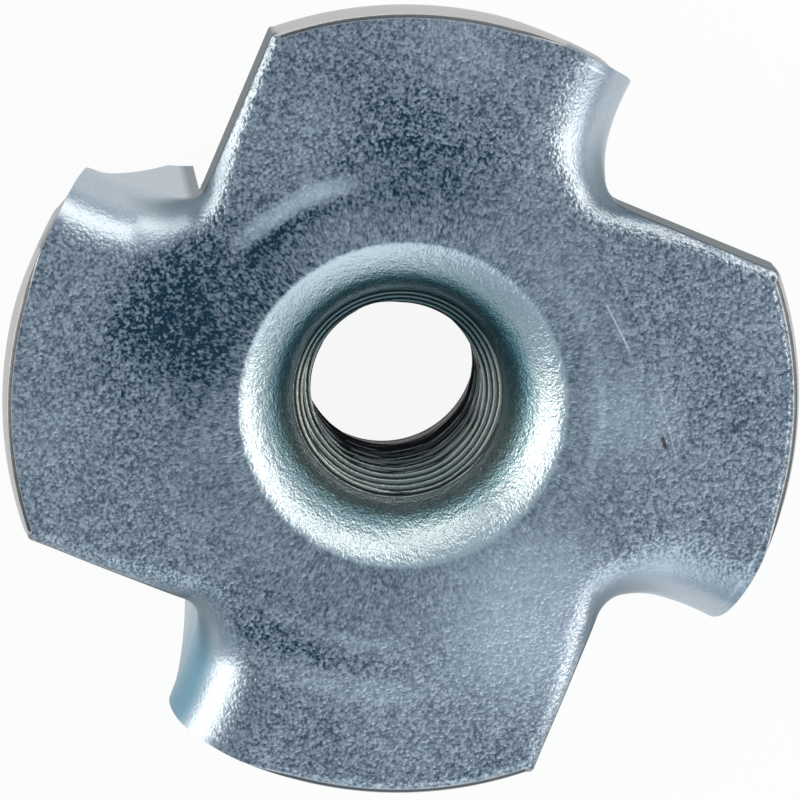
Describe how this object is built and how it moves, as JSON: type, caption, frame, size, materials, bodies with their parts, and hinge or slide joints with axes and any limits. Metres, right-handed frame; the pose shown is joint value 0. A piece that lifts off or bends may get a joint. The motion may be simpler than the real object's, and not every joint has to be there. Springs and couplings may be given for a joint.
{
  "type": "tee nut",
  "caption": "Drive-in tee nut for wood: round flange with folded prongs round its edge, and a short drawn barrel with an internal machine thread.",
  "frame": {"origin": "on the bore axis, at the free end face of the barrel", "axes": "+Z along the bore axis, from the barrel's free end towards the flange; +X runs out through the middle of the first lobe's rim"},
  "size_m": [0.015, 0.015, 0.006],
  "materials": {
    "zinc": "blue-passivated zinc plating on stamped steel, fine grained, brighter on the folds and rolled edges"
  },
  "bodies": {
    "root": {"tee_nut": "zinc"}
  },
  "joints": []
}
